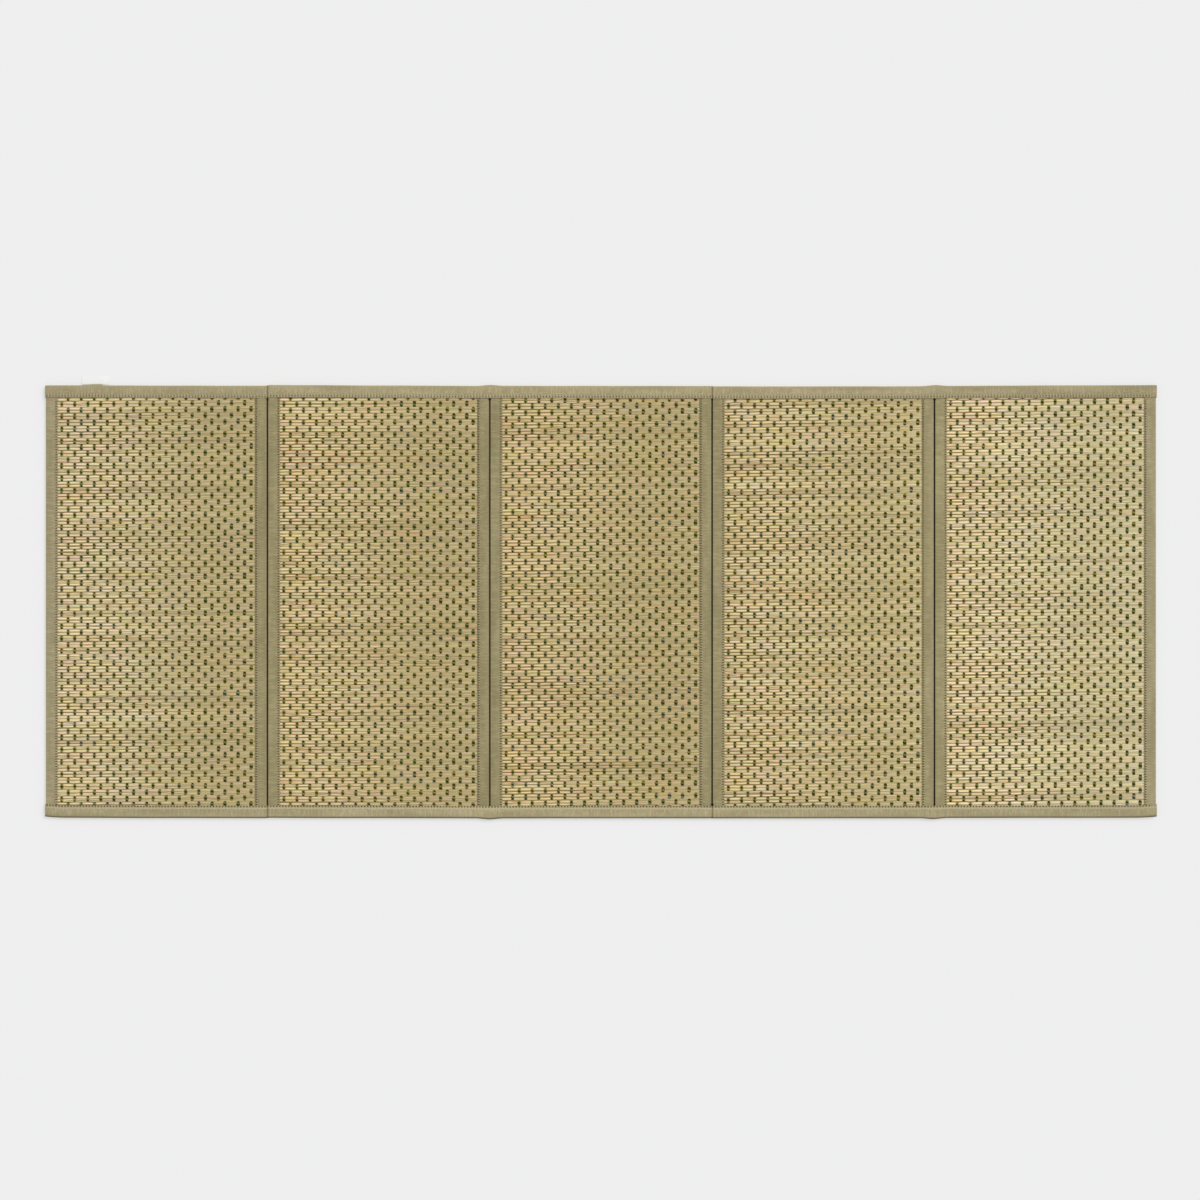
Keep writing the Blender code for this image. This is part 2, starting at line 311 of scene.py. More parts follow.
class GeometryGraph(Graph):
    """A geometry tree with named inputs, made a plain mesh by bake."""

    SOCKETS = {float: "NodeSocketFloat", int: "NodeSocketInt", bpy.types.Material: "NodeSocketMaterial"}

    def __init__(self, name: str, sizes: dict[str, Any]) -> None:
        """Makes the tree.

        Args:
            name: the tree's name.
            sizes: the named inputs with their values: floats, whole numbers or a material.
        """
        tree = bpy.data.node_groups.new(name, "GeometryNodeTree")
        super().__init__(tree)
        tree.interface.new_socket("Geometry", in_out="INPUT", socket_type="NodeSocketGeometry")
        tree.interface.new_socket("Geometry", in_out="OUTPUT", socket_type="NodeSocketGeometry")
        self.values: dict[str, Any] = {}
        for label, value in sizes.items():
            made = tree.interface.new_socket(label, in_out="INPUT", socket_type=self.SOCKETS[type(value)])
            self.values[made.identifier] = value
        self.entry = tree.nodes.new("NodeGroupInput")
        self.exit = tree.nodes.new("NodeGroupOutput")

    def size(self, label: str) -> Signal:
        """A named input."""
        return Signal(self, self.entry.outputs[label])

    def position(self) -> tuple[Signal, Signal, Signal]:
        """X, Y and Z of the points."""
        return self.split(Signal(self, self.node("GeometryNodeInputPosition").outputs["Position"]))

    def move(self, geometry: Any, x: Any, y: Any, z: Any) -> Signal:
        """Puts the points of a geometry at new places."""
        values = {"Geometry": geometry, "Position": self.vector(x, y, z)}
        return Signal(self, self.node("GeometryNodeSetPosition", None, values).outputs["Geometry"])

    def keep(self, geometry: Any, name: str, value: Signal) -> Signal:
        """Stores a vector on the points under a name."""
        settings = {"data_type": "FLOAT_VECTOR", "domain": "POINT"}
        values = {"Geometry": geometry, "Name": name, "Value": value}
        made = self.node("GeometryNodeStoreNamedAttribute", settings, values)
        return Signal(self, made.outputs["Geometry"])

    def kept(self, name: str) -> tuple[Signal, Signal, Signal]:
        """The parts of a stored vector."""
        made = self.node("GeometryNodeInputNamedAttribute", {"data_type": "FLOAT_VECTOR"}, {"Name": name})
        return self.split(Signal(self, made.outputs["Attribute"]))

    def random(self, low: float, high: float, seed: Any, label: Any = None) -> Signal:
        """A number between low and high for each element."""
        values = {"Min_001": low, "Max_001": high, "Seed": seed}
        if label is not None:
            values["ID"] = label
        made = self.node("FunctionNodeRandomValue", {"data_type": "FLOAT"}, values)
        return Signal(self, made.outputs[1])

    def grid(self, width: Any, height: Any, columns: Any, rows: Any) -> Signal:
        """A flat grid about the origin, with so many points each way."""
        values = {"Size X": width, "Size Y": height, "Vertices X": columns, "Vertices Y": rows}
        return Signal(self, self.node("GeometryNodeMeshGrid", None, values).outputs["Mesh"])

    def spread(self, points: Any, instance: Any, rotation: Any, scale: Any) -> Signal:
        """Real copies of a mesh on points."""
        values = {"Points": points, "Instance": instance, "Rotation": rotation, "Scale": scale}
        made = self.node("GeometryNodeInstanceOnPoints", None, values)
        return self.real(made.outputs["Instances"])

    def real(self, instances: Any) -> Signal:
        """Instances turned into real geometry."""
        made = self.node("GeometryNodeRealizeInstances", None, {"Geometry": instances})
        return Signal(self, made.outputs["Geometry"])

    def bake(self, name: str, geometry: Any, base: bpy.types.Mesh | None = None) -> bpy.types.Object:
        """Ends the tree, runs it and keeps its result as a plain mesh.

        Args:
            name: the new object's name.
            geometry: the tree's last geometry, before its real instances and material.
            base: the mesh that the tree starts from, if it needs one.

        Returns:
            The object, with no modifier left.
        """
        smooth = self.node("GeometryNodeSetShadeSmooth", None, {"Geometry": self.real(geometry)})
        values = {"Geometry": smooth.outputs["Geometry"], "Material": self.size("Material")}
        dressed = self.node("GeometryNodeSetMaterial", None, values)
        self.feed(self.exit.inputs[0], dressed.outputs["Geometry"])
        made = bpy.data.objects.new(name, base or bpy.data.meshes.new(name))
        bpy.context.scene.collection.objects.link(made)
        modifier = made.modifiers.new("tree", "NODES")
        modifier.node_group = self.tree
        for identifier, value in self.values.items():
            modifier[identifier] = value
        depsgraph = bpy.context.evaluated_depsgraph_get()
        result = bpy.data.meshes.new_from_object(
            made.evaluated_get(depsgraph), preserve_all_data_layers=True, depsgraph=depsgraph
        )
        made.modifiers.remove(modifier)
        made.data = result
        result.name = name
        return made


# Finishes


@dataclass(frozen=True)
class Weave:
    """The weave's sizes and the shape of its surface.

    Rows are counted from a panel's back edge, and share is the place along the stems, from 0 at the panel's
    left end to 1 at its right end, where the stems are finer and flatter.
    """

    row: float = 0.0100
    column: float = 0.01058
    first_column: float = 0.0065
    columns: int = 30
    row_hollow: tuple[float, float] = (0.0011, 0.0007)
    bundle_hollow: tuple[float, float] = (0.0010, 0.0004)
    dip: float = 0.0006
    meander: float = 0.030
    unevenness: float = 0.0005

    def swing(self, along: Signal, row: Signal) -> Signal:
        """1 where a yarn crosses over a row, and -1 where the row rides over the yarn.

        Args:
            along: metres from the left end of the visible rush.
            row: the row's whole number.

        Returns:
            The wave along the row.
        """
        columns = (along - self.first_column) / self.column
        return ((columns - 1.0 - row) * math.pi).cosine()

    def drift(self, along: Signal, rows: Signal) -> Signal:
        """Rows by which a point moves, because rows are narrow under a yarn and wide between."""
        line = rows.nearest()
        fade = 1.0 - (rows - line).absolute() * 2.0
        return self.swing(along, line) * fade * fade * self.meander

    def relief(self, graph: Graph, along: Signal, rows: Signal, share: Signal, seed: Any) -> Signal:
        """Height of the rush below its crests, in metres.

        Args:
            graph: the graph that the nodes go into.
            along: metres from the left end of the visible rush.
            rows: rows from the panel's back edge.
            share: place from the panel's left end to its right end.
            seed: the panel's own number.

        Returns:
            0 on a crest and negative in a hollow.
        """
        row = rows.floor()
        across = ((rows - row) * 2.0 - 1.0).absolute()
        lane = (rows * 2.0).fraction() * 2.0 - 1.0
        arc = 1.0 - (1.0 - lane * lane).at_least(0.0).root()
        edge = self.row_hollow[0] + share * (self.row_hollow[1] - self.row_hollow[0])
        middle = self.bundle_hollow[0] + share * (self.bundle_hollow[1] - self.bundle_hollow[0])
        depth = middle + (edge - middle) * across.above(0.5)
        level = self.swing(along, row) * (1.0 - across ** 4.0)
        bundle = (rows * 2.0 + 0.25).floor()
        lumps = graph.noise(graph.vector(along * 14.0, bundle * 7.3, seed), 1.0) - 0.5
        return lumps * self.unevenness - arc * depth - (level + 1.0) * (0.5 * self.dip)


@dataclass(frozen=True)
class RushFinish:
    """Dry rush stems: pale with brown lines between bundles at a panel's left end, even at its right; the lines
    are partly the stems' own brown and partly painted shade.
    """

    weave: Weave
    pale: tuple[float, ...] = (0.97, 0.845, 0.50, 1.0)
    straw: tuple[float, ...] = (0.66, 0.532, 0.262, 1.0)
    tan: tuple[float, ...] = (0.39, 0.310, 0.147, 1.0)
    plain: tuple[float, ...] = (1.0, 1.0, 1.0, 1.0)
    rosy: tuple[float, ...] = (1.10, 0.92, 0.94, 1.0)
    sage: tuple[float, ...] = (0.93, 1.02, 0.90, 1.0)
    golden: tuple[float, ...] = (1.01, 1.00, 0.74, 1.0)
    silver: tuple[float, ...] = (0.98, 0.98, 1.22, 1.0)
    # brown and russet colour the lines between bundles: partly the stems' own colour, partly painted shade in
    # the grooves.
    brown: tuple[float, ...] = (0.185, 0.100, 0.034, 1.0)
    russet: tuple[float, ...] = (0.300, 0.125, 0.045, 1.0)
    # olive: painted shade in the rush on each side of a yarn crossing.
    olive: tuple[float, ...] = (0.150, 0.135, 0.046, 1.0)
    yarn: tuple[float, ...] = (0.02, 0.045, 0.015, 1.0)
    stems: float = 3.0
    relief: float = 0.00035
    underside_place: tuple[float, float] = (0.9, 0.33)

    def make(self) -> bpy.types.Material:
        """Builds the material from the weave's stored places."""
        graph = SurfaceGraph("rush", Specular_IOR_Level=0.25)
        along, rows, panel = graph.split(graph.attribute("weave"))
        share, under, _spare = graph.split(graph.attribute("panel"))
        x, y, _z = graph.split(graph.place())
        along = along * (1.0 - under) + (x + self.underside_place[0]) * under
        rows = rows * (1.0 - under) + (self.underside_place[1] - y) * (1.0 / self.weave.row) * under
        share = share * (1.0 - under) + 0.5 * under
        sharp = 1.0 - share.eased(0.05, 0.85)
        stem = rows * (2.0 * self.stems)
        stem_side = (stem.fraction() * 2.0 - 1.0).absolute()
        lane_side = ((rows * 2.0).fraction() * 2.0 - 1.0).absolute()
        across = (rows.fraction() * 2.0 - 1.0).absolute()
        own = graph.scatter(stem.floor(), panel, 3.0)
        next_stem = graph.noise(graph.vector(along * 30.0, (stem.floor() + 1.0) * 3.7, panel * 9.0), 2.0)
        streak = graph.noise(graph.vector(along * 30.0, stem.floor() * 3.7, panel * 9.0), 2.0)
        streak = (streak - next_stem) * 0.75 + 0.5
        fibre = graph.noise(graph.vector(along * 34.0, rows * 30.0, panel), 2.0)
        row_tone = graph.scatter(rows.floor() + 0.5, panel)
        light = (streak - 0.5) * 2.1 + (own - 0.5) * 0.40 + (fibre - 0.5) * 0.7 + (row_tone - 0.5) * 0.14
        # Painted highlight along the crest of each round bundle, added to the paleness.
        crest_highlight = (1.0 - lane_side * lane_side) * 0.26
        colour = graph.blend((light + 0.52).eased(0.05, 0.95), self.tan, self.straw)
        paler = (sharp * (light * 1.35 + crest_highlight + 0.42)).at_least(0.0).at_most(1.0)
        paler = paler.at_least(light.eased(0.25, 0.75) * 0.40)
        colour = graph.blend(paler, colour, self.pale)
        hue = graph.noise(graph.vector(along * 17.0, stem.floor() * 2.9 + 40.0, panel * 7.0), 1.0)
        varied = 0.60 + 0.30 * sharp
        stem_tint = graph.blend(hue.eased(0.50, 0.68) * varied, self.plain, self.rosy)
        stem_tint = graph.blend((1.0 - hue.eased(0.32, 0.50)) * varied, stem_tint, self.sage)
        colour = graph.tint(colour, stem_tint)
        warmth = graph.noise(graph.vector(along * 22.0, stem.floor() * 3.1 + 80.0, panel * 5.0), 1.0)
        stem_tint = graph.blend(warmth.eased(0.48, 0.66) * varied, self.plain, self.golden)
        stem_tint = graph.blend((1.0 - warmth.eased(0.34, 0.52)) * varied, stem_tint, self.silver)
        colour = graph.tint(colour, stem_tint)
        # Brown lines between bundles and between rows: partly the stems' own brown, partly painted shade in the
        # grooves between them.
        line = (rows * 2.0).nearest()
        to_line = (rows * 2.0 - line).absolute()
        wander = graph.noise(graph.vector(along * 5.0, line * 5.3, panel * 3.0), 2.0).eased(0.32, 0.66)
        own_line = graph.scatter(line, panel, 7.0)
        strength = 0.07 + 0.16 * wander + sharp * (0.40 + 0.34 * wander) * (0.78 + 0.50 * own_line)
        strength = strength + own_line.above(0.85) * (0.10 + 0.25 * wander)
        seam = (1.0 - to_line.eased(0.09, 0.27)) * strength.at_most(0.95)
        # Painted shade in the narrow gaps between stems.
        crease = stem_side.eased(0.6, 1.0) * (0.06 + 0.20 * own + 0.20 * sharp)
        dark = seam.at_least(crease)
        line_hue = graph.scatter(line, panel, 9.0)
        colour = graph.blend(dark, colour, graph.blend(line_hue * sharp, self.brown, self.russet))
        column = (along - self.weave.first_column) / self.weave.column - 1.0 - rows.floor()
        to_yarn = (column * 0.5 - (column * 0.5).nearest()).absolute() * (2.0 * self.weave.column)
        # Painted shade in the rush on each side of a yarn crossing.
        yarn_side_shade = (1.0 - to_yarn.eased(0.0018, 0.0040)) * (1.0 - across.eased(0.60, 1.0)) * 0.50
        colour = graph.blend(yarn_side_shade, colour, self.olive)
        crossing = (1.0 - to_yarn.eased(0.0013, 0.0018)) * (1.0 - across.eased(0.72, 0.86)) * under
        colour = graph.blend(crossing, colour, self.yarn)
        # Per-panel tint: the rush's own tone with painted light, lighter towards the mat's right end.
        colour = graph.tint(colour, graph.attribute("panel_tint"))
        grain = graph.noise(graph.vector(along * 90.0, rows * 26.0, panel), 2.0)
        height = (1.0 - stem_side * stem_side) * 0.6 + grain * 0.4
        return graph.finish(colour, 0.46 + 0.22 * streak + 0.1 * dark, height, self.relief)


@dataclass(frozen=True)
class YarnFinish:
    """Dark green warp yarn, from almost black to olive and grey-green along each row."""

    black: tuple[float, ...] = (0.016, 0.014, 0.002, 1.0)
    green: tuple[float, ...] = (0.168, 0.188, 0.048, 1.0)
    olive: tuple[float, ...] = (0.300, 0.258, 0.052, 1.0)
    grey: tuple[float, ...] = (0.270, 0.285, 0.190, 1.0)
    turns: float = 0.80
    slant: float = 0.16

    def make(self) -> bpy.types.Material:
        """Builds the material from the yarn's stored places."""
        graph = SurfaceGraph("warp_yarn", Specular_IOR_Level=0.06)
        across, along, _rim = graph.split(graph.attribute("strip"))
        x, row, seed = graph.split(graph.attribute("crossing"))
        hue = graph.noise(graph.vector(x * 9.0, row * 3.7, seed), 2.0)
        own = graph.scatter((x * 200.0).nearest(), row, seed)
        colour = graph.blend(hue.eased(0.44, 0.62), self.green, self.olive)
        colour = graph.blend((1.0 - hue.eased(0.30, 0.44)) * 0.8, colour, self.grey)
        lay = graph.noise(graph.vector(x * 6.0, row * 5.1, seed + 9.0), 1.0) * 3.0 + own * 0.35
        strand = ((along * self.turns + across * self.slant + lay) * (2.0 * math.pi)).cosine() * 0.5 + 0.5
        fibre = graph.noise(graph.vector(across * 7.0, along * 2.0, own * 9.0), 2.0)
        middle = along + (own - 0.5) * 0.4
        core = 1.0 - middle.absolute().eased(0.2, 0.9)
        side = across.absolute().eased(0.55, 1.0)
        shade = ((1.0 - strand.eased(0.25, 0.80)) + core * 0.10 + (fibre - 0.5) * 0.5) * (1.0 - 0.55 * side)
        colour = graph.blend(shade.at_least(0.0).at_most(0.92), colour, self.black)
        return graph.finish(colour, 0.6 + 0.2 * fibre, strand * 0.7 + fibre * 0.3, 0.0005)


@dataclass(frozen=True)
class RibbonFinish:
    """Matt khaki ribbon with a fine rib across it, puckered at its seam and rubbed pale at its fold, with
    painted shade and highlights on the puckers, painted shade on rims turned from the light and on fold slit
    walls, and painted light and shade along it.
    """

    name: str
    pitch: float
    pucker: float
    mottled: float
    brightness: float
    pucker_highlight: float
    ridge: float
    ridge_place: float = 0.0031
    blue: float = 1.0
    base: tuple[float, ...] = (0.337, 0.287, 0.163, 1.0)
    light: tuple[float, ...] = (0.432, 0.377, 0.226, 1.0)
    dark: tuple[float, ...] = (0.217, 0.177, 0.094, 1.0)
    green: tuple[float, ...] = (0.300, 0.300, 0.150, 1.0)
    shadow: tuple[float, ...] = (0.030, 0.025, 0.015, 1.0)
    rib: float = 0.00110
    warp: float = 0.00045

    def make(self) -> bpy.types.Material:
        """Builds the material from the ribbon's stored places."""
        graph = SurfaceGraph(self.name, Specular_IOR_Level=0.2, Sheen_Weight=0.10, Sheen_Roughness=0.5)
        along, across, seam = graph.split(graph.attribute("ribbon"))
        seed, edge, shade = graph.split(graph.attribute("ribbon_kind"))
        patches = graph.noise(graph.vector(along * 11.0, across * 60.0, seed), 3.0)
        threads = graph.noise(graph.vector(along * 420.0, across * 70.0, seed), 1.0)
        weft = graph.noise(graph.vector(along * 60.0, across * 900.0, seed + 2.0), 1.0)
        rib = (along * (2.0 * math.pi / self.rib)).cosine() * 0.5 + 0.5
        warp = (across * (2.0 * math.pi / self.warp) + rib.nearest() * math.pi).cosine() * 0.5 + 0.5
        colour = graph.blend(0.55, graph.blend(patches.eased(0.3, 0.7), self.dark, self.light), self.base)
        greenish = graph.noise(graph.vector(along * 130.0, across * 150.0, seed + 8.0), 1.0)
        colour = graph.blend(greenish.eased(0.45, 0.70) * 0.40, colour, self.green)
        colour = graph.blend((1.0 - threads.eased(0.30, 0.60)) * 0.36, colour, self.dark)
        colour = graph.blend((1.0 - rib) * (0.20 + 0.20 * warp), colour, self.dark)
        colour = graph.blend(threads.eased(0.52, 0.75) * 0.40 + rib * warp * 0.12, colour, self.light)
        colour = graph.blend(edge.at_least(0.0) * (0.30 + 0.3 * weft), colour, self.light)
        speckle = graph.noise(graph.vector(along * 560.0, across * 560.0, seed + 5.0), 0.0)
        sewn = (1.0 - (seam.absolute() / self.mottled).eased(0.7, 1.0)) * 0.55
        colour = graph.blend((1.0 - speckle.eased(0.30, 0.50)) * sewn, colour, self.dark)
        colour = graph.blend(speckle.eased(0.52, 0.70) * sewn, colour, self.light)
        near_seam = 1.0 - (seam.absolute() / self.pucker).eased(0.35, 1.0)
        place = along / self.pitch + weft * 0.15
        fold = (place * (2.0 * math.pi)).cosine() * 0.5 + 0.5
        zigzag = ((place.fraction() * 2.0 - 1.0).absolute() + seam / self.pucker).absolute()
        thread = (1.0 - zigzag.eased(0.10, 0.34)) * seam.sign().at_most(0.0) * -0.55
        # Painted shade in the pucker troughs by the seam, and painted highlight on the pucker bumps.
        colour = graph.blend(near_seam * fold * (0.25 + 0.5 * threads), colour, self.dark)
        colour = graph.blend(thread.at_least(0.0), colour, self.dark)
        colour = graph.blend(near_seam * (1.0 - fold) * self.pucker_highlight, colour, self.light)
        # Painted highlight along a band of the padded flap a little outside the seam.
        ridge = 1.0 - ((seam + self.ridge_place).absolute() / 0.0016).eased(0.3, 1.0)
        colour = graph.blend(ridge * self.ridge, colour, self.light)
        # Painted shade where the rim mark is below 0: rims turned from the light and the walls of fold slits.
        colour = graph.blend((edge * -0.95).at_least(0.0), colour, self.shadow)
        # Painted light and shade along the ribbon: paler in the mat's middle and towards its right end, darker
        # in valley creases.
        strength = (1.0 + shade) * self.brightness
        colour = graph.tint(colour, graph.vector(strength, strength, strength * self.blue))
        height = rib * 0.22 + warp * 0.06 + threads * 0.10 + near_seam * (1.0 - fold) * 0.7
        return graph.finish(colour, 0.78 + 0.12 * threads, height, 0.0006)


@dataclass(frozen=True)
class ThreadFinish:
    """Dark sewing thread with a twist."""

    base: tuple[float, ...] = (0.016, 0.012, 0.007, 1.0)
    light: tuple[float, ...] = (0.07, 0.058, 0.036, 1.0)

    def make(self) -> bpy.types.Material:
        """Builds the material from the stitches' places in the mat."""
        graph = SurfaceGraph("thread", Specular_IOR_Level=0.1)
        x, y, _z = graph.split(graph.place())
        own = graph.noise(graph.vector(x * 60.0, y * 60.0, 0.0), 2.0)
        twist = ((x + y) * 5200.0).cosine() * 0.5 + 0.5
        colour = graph.blend(own.eased(0.35, 0.75) * 0.6 + twist * 0.2, self.base, self.light)
        return graph.finish(colour, 0.55 + 0.2 * twist)


@dataclass(frozen=True)
class CardFinish:
    """Smooth white label cloth, blank."""

    base: tuple[float, ...] = (0.96, 0.96, 0.955, 1.0)
    shaded: tuple[float, ...] = (0.80, 0.80, 0.795, 1.0)

    def make(self) -> bpy.types.Material:
        """Builds the material with a fine weave."""
        graph = SurfaceGraph("label_cloth", Specular_IOR_Level=0.3)
        x, y, _z = graph.split(graph.place())
        threads = (x * 9000.0).cosine() * (y * 9000.0).cosine() * 0.5 + 0.5
        soft = graph.noise(graph.vector(x * 120.0, y * 120.0, 0.0), 2.0)
        colour = graph.blend(soft * 0.5 + threads * 0.15, self.base, self.shaded)
        return graph.finish(colour, 0.5 + 0.2 * soft, threads, 0.00005)


@dataclass(frozen=True)
class FloorFinish:
    """Plain pale floor."""

    base: tuple[float, ...] = (0.46, 0.46, 0.464, 1.0)
    glow: float = 0.42

    def make(self) -> bpy.types.Material:
        """Builds the material, with a light table's glow, so that only a faint shadow shows."""
        white = (1.0, 1.0, 1.0, 1.0)
        graph = SurfaceGraph(
            "pale_floor", Specular_IOR_Level=0.1, Emission_Color=white, Emission_Strength=self.glow
        )
        return graph.finish(self.base, 0.9)


# Pieces


def finish_piece(piece: bpy.types.Object, slot: Slot, *nodes: str) -> None:
    """Makes a piece ride on the mat.

    Args:
        piece: the finished piece, at the origin.
        slot: not used.
        nodes: the CAD nodes that it stands for.
    """
    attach(piece, BODY)
    if nodes:
        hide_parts(*nodes)


def triangles(piece: bpy.types.Object) -> int:
    """Counts the triangles of a piece, without those that its thickness adds."""
    return sum(len(face.vertices) - 2 for face in piece.data.polygons)


class EdgeLine:
    """Where a long binding's CAD solid has its outer face, inner edge and top, at any place along the mat."""

    ON_FLOOR = 0.00001
    FULL_COVER = 0.0195

    def __init__(self, node: str, edge: Edge) -> None:
        """Reads the sections of the solid.

        Args:
            node: the long binding's node.
            edge: the edge that it binds.
        """
        sections: dict[float, list[Vector]] = {}
        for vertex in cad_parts[node].data.vertices:
            sections.setdefault(round(vertex.co.x, 4), []).append(vertex.co)
        sign = edge.value
        self.outer: list[tuple[float, float]] = []
        self.inner: list[tuple[float, float]] = []
        self.top: list[tuple[float, float]] = []
        for x in sorted(sections):
            reaches = [point.y * sign for point in sections[x]]
            if min(point.z for point in sections[x]) > self.ON_FLOOR:
                continue
            self.outer.append((x, max(reaches)))
            self.top.append((x, max(point.z for point in sections[x])))
            if max(reaches) - min(reaches) > self.FULL_COVER:
                self.inner.append((x, min(reaches)))
        self.stations = [x for x, _reach in self.outer]

    def outer_at(self, x: float) -> float:
        """How far out the edge is at a place along the mat."""
        return self.at(self.outer, x)

    @staticmethod
    def at(line: Sequence[tuple[float, float]], x: float) -> float:
        """The value of one of the lines at a place along the mat."""
        for (start, value), (end, next_value) in zip(line, line[1:]):
            if x <= end:
                return value + (next_value - value) * (x - start) / (end - start)
        return line[-1][1]


@dataclass(frozen=True)
class PanelTone:
    """How light and how cool a panel's rush is, at its left end and at its right end: partly the rush's own
    tone and partly painted light, the panels lighter towards the mat's right end as a sheen from the light
    there.
    """

    lightness: tuple[float, float]
    coolness: tuple[float, float]
    green_share: ClassVar[float] = 0.3

    def tints(self, share: Signal) -> list[Signal]:
        """Red, green and blue factors at a place from the left end, 0, to the right end, 1."""
        light = self.lightness[0] + share * (self.lightness[1] - self.lightness[0])
        cool = self.coolness[0] + share * (self.coolness[1] - self.coolness[0])
        return [light, light * (1.0 + cool * self.green_share), light * (1.0 + cool)]


@dataclass
class RushPanel:
    """One panel of woven rush and the yarns that cross over it."""

    START: ClassVar[float] = 0.5

    number: int
    weave: Weave
    rush: bpy.types.Material
    yarn: bpy.types.Material
    row_shift: tuple[float, float]
    tone: PanelTone
    lines: dict[Edge, EdgeLine]
    rows: int = 68
    cells_in_row: int = 8
    cells_in_column: int = 3
    tuck: float = 0.003
    slope: float = 0.0045
    crown: float = 0.0006
    seat: float = 0.0001
    rim_low: float = 0.0022
    rim_high: float = 0.0054
    rim_inset: float = 0.0016
    strip_widths: tuple[float, float] = (0.0049, 0.0066)
    strip_share: float = 1.0
    strip_lift: float = 0.00075

    def __post_init__(self) -> None:
        """Reads the panel's place from the frame."""
        low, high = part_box(f"rush_panel_{self.number}")
        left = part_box(f"side_binding_{self.number}_left")[1][0]
        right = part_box(f"side_binding_{self.number}_right")[0][0]
        self.low = Vector(low)
        self.high = Vector(high)
        self.left = left
        self.right = right
        self.seed = float(self.number)
        self.middle = (left + right) / 2.0
        self.half_y = LongBinding.INNER_EDGE
        self.half_x = (right - left) / 2.0
        self.top = self.high.z - self.crown

    def build(self) -> list[bpy.types.Object]:
        """Makes the panel's pieces."""
        return [self.build_weave(), self.build_yarns()]

    def y_of(self, rows: Any, share: Signal) -> Signal:
        """Y of a place given in rows, which start a little under the back binding and aren't quite level."""
        left, right = self.row_shift
        row = self.weave.row
        return (self.half_y + left * row) + share * ((right - left) * row) - rows * row

    def surface(self, graph: GeometryGraph, x: Signal, rows: Signal) -> tuple[Signal, Signal]:
        """The rush surface at a place in the weave.

        Args:
            graph: the tree.
            x: metres from the panel's middle.
            rows: rows from the first one.

        Returns:
            Y and Z of the surface.
        """
        along = x + self.half_x
        share = (along / (2.0 * self.half_x)).at_least(0.0).at_most(1.0)
        y = self.y_of(rows, share)
        moved = y - self.weave.drift(along, rows) * self.weave.row
        relief = self.weave.relief(graph, along, rows, share, graph.size("Seed"))
        inside = (self.half_x - x.absolute()).eased(0.0, self.slope)
        arch_x = 1.0 - (x / self.half_x) ** 2.0
        arch_y = 1.0 - (y / self.half_y) ** 2.0
        full = self.top + self.crown * (arch_x * arch_y).at_least(0.0)
        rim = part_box(f"side_binding_{self.number}_left")[1][2] - SideBinding.THICKNESS - self.seat
        level = rim + (full - rim) * inside
        return moved, level + relief

    def build_weave(self) -> bpy.types.Object:
        """Makes the woven surface, closed by thin rims inside the bindings and a flat underside."""
        width = 2.0 * (self.half_x + self.tuck)
        columns = round(width / self.weave.column * self.cells_in_column)
        sizes = {
            "Width": width,
            "Rows of rush": float(self.rows),
            "Points along": columns + 1,
            "Points across": self.rows * self.cells_in_row + 1,
            "Seed": self.seed,
            "Material": self.rush,
        }
        graph = GeometryGraph("woven_rush", sizes)
        count = graph.size("Rows of rush")
        grid = graph.grid(graph.size("Width"), count, graph.size("Points along"), graph.size("Points across"))
        x, y, _z = graph.position()
        rows = count * 0.5 - y - self.START
        moved, level = self.surface(graph, x, rows)
        share = (x + self.half_x) / (2.0 * self.half_x)
        stored = graph.keep(grid, "weave", graph.vector(x + self.half_x, rows, graph.size("Seed")))
        stored = graph.keep(stored, "panel", graph.vector(share, 0.0, 0.0))
        stored = graph.keep(stored, "panel_tint", graph.vector(*self.tone.tints(share)))
        woven = graph.move(stored, x + self.middle, moved, level)
        piece = graph.bake(f"woven_rush_{self.number}", woven)
        self._close(piece)
        finish_piece(piece, Slot.RUSH, f"rush_panel_{self.number}")
        return piece

    def _close(self, piece: bpy.types.Object) -> None:
        """Closes the woven surface with rims at the panel's edges and a flat underside."""
        mesh = bmesh.new()
        mesh.from_mesh(piece.data)
        weave_layer = mesh.verts.layers.float_vector["weave"]
        panel_layer = mesh.verts.layers.float_vector["panel"]
        centre = (self.low + self.high) / 2.0
        half = (self.high - self.low) / 2.0
        inner = self.half_x - self.slope
        flat_inset = half.y - self.half_y + self.slope
        steps = (
            (half.x, self.rim_inset, self.rim_high, 0.0),
            (half.x, self.rim_inset, self.rim_low, 1.0),
            (inner, flat_inset, 0.0, 1.0),
        )
        for reach, inset, level, under in steps:
            edges = [edge for edge in mesh.edges if edge.is_boundary]
            made = bmesh.ops.extrude_edge_only(mesh, edges=edges)["geom"]
            fresh = [vertex for vertex in made if isinstance(vertex, bmesh.types.BMVert)]
            for vertex in fresh:
                from_left, rows, _seed = vertex[weave_layer]
                across = (from_left - self.half_x) / (self.half_x + self.tuck)
                up = 1.0 - 2.0 * (rows + self.START) / self.rows
                x = centre.x + across * reach
                back, front = (edge.value * (self.lines[edge].outer_at(x) - inset) for edge in Edge)
                vertex.co = (x, (back + front + up * (back - front)) / 2.0, level)
                vertex[panel_layer] = (vertex[panel_layer][0], under, 0.0)
        edges = [edge for edge in mesh.edges if edge.is_boundary]
        bmesh.ops.edgenet_fill(mesh, edges=edges)
        bmesh.ops.recalc_face_normals(mesh, faces=mesh.faces)
        mesh.to_mesh(piece.data)
        mesh.free()

